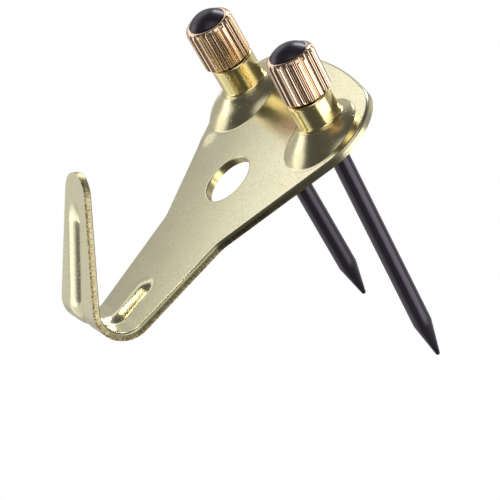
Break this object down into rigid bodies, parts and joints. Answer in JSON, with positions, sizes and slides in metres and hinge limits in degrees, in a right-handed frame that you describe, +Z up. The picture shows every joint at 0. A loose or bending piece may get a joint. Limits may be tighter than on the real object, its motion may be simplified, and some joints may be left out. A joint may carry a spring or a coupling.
{
  "type": "picture hook",
  "caption": "Picture hook folded from brass-plated sheet, with an upturned lip, a central hole, and sloping tubes that guide nails with knurled grips.",
  "frame": {"origin": "point on the flat back face, midway between the nail tubes and level with the middle of their bosses", "axes": "+Y into the wall, square to the back face; +Z up; +X across the plate, to the right as seen from the room"},
  "size_m": [0.027, 0.0416, 0.0364],
  "materials": {
    "plate": "satin pale brass plating",
    "nail": "blued, semi-gloss",
    "grip": "polished red brass"
  },
  "bodies": {
    "root": {"hook_plate": "plate", "nail_left": "nail", "nail_right": "nail", "nail_grip_left": "grip", "nail_grip_right": "grip"}
  },
  "joints": []
}
